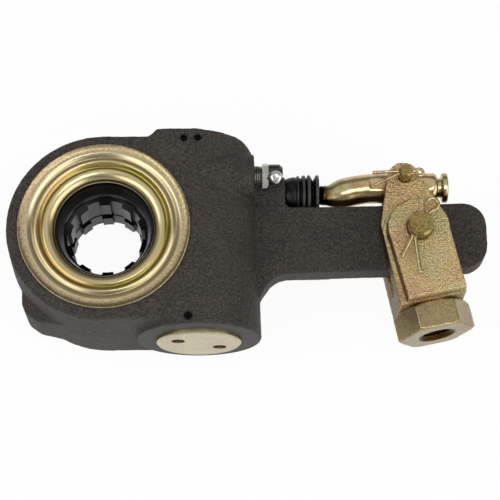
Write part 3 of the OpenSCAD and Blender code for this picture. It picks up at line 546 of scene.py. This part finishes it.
def spline(points, perStep):
    # smooth run through rows of numbers
    rows = []
    for i in range(len(points) - 1):
        a, b, c, d = (Vector(points[max(0, min(len(points) - 1, i + k))]) for k in (-1, 0, 1, 2))
        for k in range(perStep):
            t = k / perStep
            row = 2 * b + (c - a) * t + (2 * a - 5 * b + 4 * c - d) * t * t
            rows.append(0.5 * (row + (3 * b - 3 * c + d - a) * t ** 3))
    rows.append(Vector(points[-1]))
    return rows


rim = ringSet["outer"]
ringProfile = rounded([(rim, 0), (rim, ringSet["flange"] - ringSet["bevelHigh"]),
                       (rim - ringSet["bevel"], ringSet["flange"])], ringSet["round"])
ringProfile += [tuple(row) for row in spline(ringSet["waves"], 3)]
ringProfile += ringSet["back"]
for ringName, nodeName, side in (("frontCover", "front_plate", 1), ("rearCover", "rear_plate", -1)):
    place = Matrix.Diagonal((1, 1, side, 1)) @ Matrix.Translation((0, 0, ringSet["face"]))
    cover = newObject(ringName, turned(ringName, ringProfile, place, ringSet["segments"]))
    for vertex in cover.data.vertices:
        spot = vertex.co / mm
        reach = math.hypot(spot.x, spot.y)
        if reach > ringSet["flangeFrom"] and abs(spot.z) > ringSet["face"] + ringSet["stakeAbove"]:
            outwards = (reach - ringSet["flangeFrom"]) / ringSet["flangeWidth"]
            for stake in ringSet["stakes"]:
                off = math.remainder(math.degrees(math.atan2(spot.y, spot.x)) - stake, 360)
                dent = math.exp(-(math.radians(off) * reach / ringSet["stakeWidth"]) ** 2) * outwards
                vertex.co.z -= side * ringSet["stakeDepth"] * dent * mm
    finishPiece(cover, ringZinc, "housing", "yellow_zinc", nodeName)
print("cover rings turned")

bootSet = {"start": 88.1, "neck": 6.1, "round": 0.5, "end": 17, "lipDepth": 0.8, "rim": (8.4, 16.97),
           "foot": [(6.6, 0.02), (7.2, 0.02), (7.7, 0.8), (8.2, 2.4), (8.6, 4.6)],  # out, along
           # along, out, half width
           "crests": ((6.4, 9.1, 0.75), (9.3, 9.4, 0.95), (11.9, 9.5, 0.95), (16.0, 9.5, 0.95)),
           "valleys": ((5.3, 8.2), (7.85, 7.6), (10.6, 7.4), (13.9, 6.5)),  # before each crest: along, out
           "valleyWall": 1.2, "crestWall": 1.7}
outer, inner = list(bootSet["foot"]), []
for (crestAt, crestOut, half), (valleyAt, valleyOut) in zip(bootSet["crests"], bootSet["valleys"]):
    outer.append((valleyOut, valleyAt))
    outer += [(crestOut - half + half * math.cos(a), crestAt + half * math.sin(a))
              for a in (math.radians(d) for d in range(-80, 81, 20))]
    inner += [(valleyOut - bootSet["valleyWall"], valleyAt), (crestOut - bootSet["crestWall"], crestAt)]
lip = [bootSet["rim"], (bootSet["neck"], bootSet["end"]), (bootSet["neck"], bootSet["end"] - bootSet["lipDepth"])]
bootProfile = rounded(outer + lip + inner[::-1], bootSet["round"], 3)
bellows = newObject("bellows", turned("bellows", bootProfile, Matrix.Translation((bootSet["start"], 0, 0))
                                      @ alongX(rackY, 0)))
bellows.data.materials.append(blackRubber)
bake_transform(bellows)
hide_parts("boot")
print("bellows turned")

linkSet = {
    # along the link: x, y, radius
    "run": [(107.4, 25.05, 4.85), (109.0, 25.0, 5.0), (110.8, 25.0, 5.6), (112.8, 25.2, 6.3), (115, 25.65, 6.9),
            (116.9, 26.15, 7.2), (118.9, 26.65, 7.4), (120.9, 27.1, 7.42), (123, 27.5, 7.4), (125, 27.8, 7.38),
            (127, 28.1, 7.36), (129, 28.35, 7.36), (131, 28.5, 7.42), (135, 28.62, 7.5), (150, 28.62, 7.5),
            (162.8, 28.62, 7.5)],
    "runFrom": 108.4, "sides": 48, "perStep": 6, "thinnest": 0.01,
    "flatHalf": 6.9, "flatFrom": 129.6, "flatTo": 161.6, "flatEase": 0.8, "flatRelief": 1.0,
    "ballX": 100.2, "ballRadius": 3.1, "lean": math.radians(-7),
    # stem beside the ball: radius, distance from the ball's middle
    "stem": [(2.3, 2.4), (3.2, 2.75), (4.0, 3.2), (4.0, 4.6), (4.8, 5.4), (4.8, 7.0), (5.05, 7.12), (5.05, 7.85),
             (4.85, 8.0)],
    # button end: radius, x
    "tail": [(7.5, 162.8), (6.6, 163.9), (5, 164.1), (5, 166.2), (7, 166.4), (7.5, 166.9), (7.5, 168.8), (6.9, 169.4),
             (0.01, 169.5)],
    "tailY": 28.62, "tailRound": 0.4, "eyeRadius": 3.235, "eyeReach": 12, "drillSides": 48,
}
lean, ball = linkSet["lean"], linkSet["ballRadius"]
ballArc = [(ball * math.sin(math.radians(a)), -ball * math.cos(math.radians(a))) for a in range(0, 133, 11)]
rings = []  # centre, across direction and radius of each ring
for r, s in ballArc + linkSet["stem"]:
    centre = Vector((linkSet["ballX"] + s * math.cos(lean), rackY + s * math.sin(lean), 0))
    rings.append((centre, lean, max(r, linkSet["thinnest"])))
path = spline(linkSet["run"], linkSet["perStep"])
for i, row in enumerate(path):
    if row.x < linkSet["runFrom"]:
        continue
    ahead = path[min(i + 1, len(path) - 1)] - path[max(i - 1, 0)]
    rings.append((Vector((row.x, row.y, 0)), math.atan2(ahead.y, ahead.x), row.z))
for r, x in rounded(linkSet["tail"], linkSet["tailRound"], 4, False)[1:]:
    rings.append((Vector((x, linkSet["tailY"], 0)), 0, r))
sides, ease = linkSet["sides"], linkSet["flatEase"]
linkPoints, linkFaces = [], []
for centre, angle, r in rings:
    across = Vector((-math.sin(angle), math.cos(angle), 0))
    for k in range(sides):
        turn = 2 * math.pi * k / sides
        spot = centre + across * (r * math.cos(turn)) + Vector((0, 0, r * math.sin(turn)))
        edge = max(0, min(1, (spot.x - linkSet["flatFrom"]) / ease, (linkSet["flatTo"] - spot.x) / ease))
        half = linkSet["flatHalf"] + (1 - edge) * linkSet["flatRelief"]
        spot.z = max(-half, min(half, spot.z))
        linkPoints.append(spot)
for i in range(len(rings) - 1):
    for k in range(sides):
        j = (k + 1) % sides
        linkFaces.append((i * sides + k, i * sides + j, (i + 1) * sides + j, (i + 1) * sides + k))
linkFaces.append(tuple(range(sides)))
linkFaces.append(tuple((len(rings) - 1) * sides + k for k in range(sides)))
pushLink = newObject("pushLink", meshFrom("pushLink", linkPoints, linkFaces))
eyeRadius, eyeReach = linkSet["eyeRadius"], linkSet["eyeReach"]
drillProfile = [(0.001, -eyeReach), (eyeRadius, -eyeReach), (eyeRadius, eyeReach), (0.001, eyeReach)]
drill = newObject("drill", turned("drill", drillProfile, Matrix.Translation((eyeX, eyeY, 0)), linkSet["drillSides"],
                                  False))
cut = pushLink.modifiers.new("eye", "BOOLEAN")
cut.operation = "DIFFERENCE"
cut.solver = "EXACT"
cut.object = drill
evaluated(pushLink)
bpy.data.objects.remove(drill)
pushLink.data.shade_smooth()
finishPiece(pushLink, linkZinc, "link", "yellow_zinc", "link")
print("push link lofted,", len(pushLink.data.polygons), "faces")

yokeSet = {"voxel": 0.6, "passes": 2, "grains": ((1.6, 0.09), (0.8, 0.05)),
           "slotHalf": 8, "pinEye": 7.4, "linkEye": 4, "shank": -34}  # machined surfaces: half width, radii, below
yoke = softened("yoke", "clevis", yokeSet["voxel"], yokeSet["passes"])
outYoke = (Matrix.Translation((armPinX, 0, 0)) @ Matrix.Rotation(yokeTurn, 4, "Z")).inverted()
roughened(yoke, yokeSet["grains"],
          lambda p: abs(p.z) < yokeSet["slotHalf"] or math.hypot(p.x - armPinX, p.y) < yokeSet["pinEye"]
          or math.hypot(p.x - eyeX, p.y - eyeY) < yokeSet["linkEye"] or (outYoke @ p).y < yokeSet["shank"])
finishPiece(yoke, grainyZinc, "clevis", "yellow_zinc", "clevis")
collarSet = {"voxel": 0.42, "passes": 2}
rodCollar = softened("rodCollar", "hex_collar", collarSet["voxel"], collarSet["passes"])
finishPiece(rodCollar, collarZinc, "clevis", "yellow_zinc", "hex_collar")
print("yoke and collar made")


def addSockets(tree, inputs, output):
    for label, kind in inputs.items():
        tree.interface.new_socket(label, in_out="INPUT", socket_type="NodeSocket" + kind)
    tree.interface.new_socket(output, in_out="OUTPUT", socket_type="NodeSocketGeometry")


def sweptOut(tree, curve, ring, material, output):
    # round wire along a curve, as a real mesh in its material
    sweep = addNode(tree, "GeometryNodeCurveToMesh", values={"Fill Caps": True},
                    links={"Curve": curve.outputs[0], "Profile Curve": ring.outputs[0]})
    smooth = addNode(tree, "GeometryNodeSetShadeSmooth", links={"Geometry": sweep.outputs[0]})
    real = addNode(tree, "GeometryNodeRealizeInstances", links={"Geometry": smooth.outputs[0]})
    painted = addNode(tree, "GeometryNodeSetMaterial", values={"Material": material},
                      links={"Geometry": real.outputs[0]})
    addNode(tree, "NodeGroupOutput", links={output: painted.outputs[0]})


def wireTree(name, material):
    # bent round wire along a row of points, with rounded corners and closed ends
    tree = bpy.data.node_groups.new(name, "GeometryNodeTree")
    addSockets(tree, {"Path": "Geometry", "Wire radius": "Float", "Corner radius": "Float", "Sides": "Int"}, "Wire")
    given = addNode(tree, "NodeGroupInput")
    curve = addNode(tree, "GeometryNodeMeshToCurve", links={"Mesh": given.outputs["Path"]})
    fillet = addNode(tree, "GeometryNodeFilletCurve", {"mode": "POLY"}, {"Count": 6, "Limit Radius": True},
                     {"Curve": curve.outputs[0], "Radius": given.outputs["Corner radius"]})
    ring = addNode(tree, "GeometryNodeCurvePrimitiveCircle",
                   links={"Resolution": given.outputs["Sides"], "Radius": given.outputs["Wire radius"]})
    sweptOut(tree, fillet, ring, material, "Wire")
    return tree


def threadTree(name, material):
    # screw thread: a wire wound in a rising coil
    tree = bpy.data.node_groups.new(name, "GeometryNodeTree")
    addSockets(tree, {"Base": "Geometry", "Coil radius": "Float", "Height": "Float", "Turns": "Float",
                      "Ridge radius": "Float"}, "Thread")
    given = addNode(tree, "NodeGroupInput")
    coil = addNode(tree, "GeometryNodeCurveSpiral", values={"Resolution": 48},
                   links={"Rotations": given.outputs["Turns"], "Start Radius": given.outputs["Coil radius"],
                          "End Radius": given.outputs["Coil radius"], "Height": given.outputs["Height"]})
    ring = addNode(tree, "GeometryNodeCurvePrimitiveCircle", values={"Resolution": 6},
                   links={"Radius": given.outputs["Ridge radius"]})
    sweptOut(tree, coil, ring, material, "Thread")
    return tree


def grown(piece, tree, sizes):
    # sizes go in by each socket's own identifier before the first evaluation, then the result is a plain mesh
    modifier = piece.modifiers.new("nodes", "NODES")
    modifier.node_group = tree
    for item in tree.interface.items_tree:
        if item.in_out == "INPUT" and item.name in sizes:
            modifier[item.identifier] = sizes[item.name]
    return cleaned(evaluated(piece))


def pathMesh(name, points):
    mesh = bpy.data.meshes.new(name)
    mesh.from_pydata([Vector(p) * mm for p in points], [(i, i + 1) for i in range(len(points) - 1)], [])
    return mesh


cotterSet = {
    # points across the pin: along the split pin, to its left; tips and hooks bend away from the pin
    "yokeSplitPin": {"at": (armPinX, 0, 27.9), "turn": 60, "wire": 0.92, "corner": 1.8, "node": "clevis_cotter",
                     "legA": [(-19.02, 0.34), (-6.9, 0.9), (-6.6, 0.72), (7.2, 0.72), (8.6, 1.25)],
                     "eye": [(11.2, 3.0), (14.0, 2.5), (15.2, 0), (14.0, -2.5), (11.2, -3.0)],
                     "legB": [(8.6, -1.25), (7.2, -0.72), (-6.6, -0.72), (-7.0, -0.73), (-22.32, -11.73),
                              (-20.29, -12.06)]},
    "linkSplitPin": {"at": (eyeX, eyeY, 22.8), "turn": 0, "wire": 0.76, "corner": 1.4, "node": "link_cotter",
                     "legA": [(-16.2, 0.2), (-3.6, 0.57), (3.6, 0.57), (4.6, 0.9)],
                     "eye": [(6.2, 1.9), (8.0, 1.6), (8.8, 0), (8.0, -1.6), (6.2, -1.9)],
                     "legB": [(4.6, -0.9), (3.6, -0.57), (-3.6, -0.57), (-17, -7)]},
}
wireNodes = wireTree("bentWire", brightZinc)
for cotterName, cotter in cotterSet.items():
    place = Matrix.Translation(cotter["at"]) @ Matrix.Rotation(math.radians(cotter["turn"]), 4, "Z")
    route = [place @ Vector((*spot, 0)) for spot in cotter["legA"] + cotter["eye"] + cotter["legB"]]
    splitPin = newObject(cotterName, pathMesh(cotterName, route))
    grown(splitPin, wireNodes, {"Wire radius": cotter["wire"] * mm, "Corner radius": cotter["corner"] * mm,
                                "Sides": 14})
    finishPiece(splitPin, brightZinc, "clevis", "yellow_zinc", cotter["node"])
print("split pins bent")

threadSet = {"radius": 7.42, "height": 20.0, "turns": 14.2, "ridge": 0.42, "from": -47.4}
threadNodes = threadTree("screwThread", collarZinc)
rodThread = newObject("rodThread", pathMesh("rodThread", [(0, 0, 0), (0, 0, 1)]))
grown(rodThread, threadNodes, {"Coil radius": threadSet["radius"] * mm, "Turns": threadSet["turns"],
                               "Height": threadSet["height"] * mm, "Ridge radius": threadSet["ridge"] * mm})
atYoke = Matrix.Translation((armPinX * mm, 0, 0)) @ Matrix.Rotation(yokeTurn, 4, "Z")
rodThread.data.transform(atYoke @ Matrix.Translation((rodBeside * mm, threadSet["from"] * mm, 0))
                         @ Matrix.Rotation(math.radians(-90), 4, "X"))
finishPiece(rodThread, collarZinc, "clevis", "yellow_zinc")
print("rod thread wound")

nippleSet = {"at": (83.0, 28.9, 18.8), "lean": 27, "foot": 4.527, "round": 0.4, "segments": 48,
             "profile": ((0, 0), (2.7, 0), (2.7, 0.8), (2.3, 1.1), (2.3, 1.5), (3, 2), (3.4, 2.8), (3.4, 3.5),
                         (2.9, 4.5), (2, 5.2), (1, 5.4), (0, 5.4))}  # radius, height
nippleProfile = rounded([(r, nippleSet["foot"] + h) for r, h in nippleSet["profile"]], nippleSet["round"], 4, False)
nipple = newObject("nipple", turned("nipple", nippleProfile, Matrix.Translation(nippleSet["at"])
                                    @ Matrix.Rotation(math.radians(nippleSet["lean"]), 4, "X"),
                                    nippleSet["segments"], False))
finishPiece(nipple, brightSteel, "housing", "bright_steel", "grease_ball")
print("nipple turned")

floorSet = {"size": 6.0, "below": 0.0001, "paint": "#eeeeec", "glow": 0.94}
half = floorSet["size"] / 2
floorMesh = bpy.data.meshes.new("floor")
floorMesh.from_pydata([(-half, -half, 0), (half, -half, 0), (half, half, 0), (-half, half, 0)], [], [(0, 1, 2, 3)])
floorMesh.transform(Matrix.Translation((0, 0, cadBox[0][2] - floorSet["below"])))
floor = newObject("floor", floorMesh)
floorMaterial = bpy.data.materials.new("paleFloor")
floorMaterial.use_nodes = True
tree = floorMaterial.node_tree
tree.nodes.clear()
lightPath = addNode(tree, "ShaderNodeLightPath")
seen = addNode(tree, "ShaderNodeMath", {"operation": "MAXIMUM"},
               links={0: lightPath.outputs["Is Camera Ray"], 1: lightPath.outputs["Is Transmission Ray"]})
seen = addNode(tree, "ShaderNodeMath", {"operation": "MAXIMUM"},
               links={0: seen.outputs[0], 1: lightPath.outputs["Is Glossy Ray"]})
paint = addNode(tree, "ShaderNodeBsdfDiffuse", values={"Color": hexColour(floorSet["paint"])})
glow = addNode(tree, "ShaderNodeEmission", values={"Color": hexColour("#ffffff"), "Strength": 1.0})
share = addNode(tree, "ShaderNodeMath", {"operation": "MULTIPLY"}, {1: floorSet["glow"]}, {0: seen.outputs[0]})
mixed = addNode(tree, "ShaderNodeMixShader", links={0: share.outputs[0], 1: paint.outputs[0], 2: glow.outputs[0]})
addNode(tree, "ShaderNodeOutputMaterial", links={"Surface": mixed.outputs[0]})
floorMesh.materials.append(floorMaterial)
print("floor set")
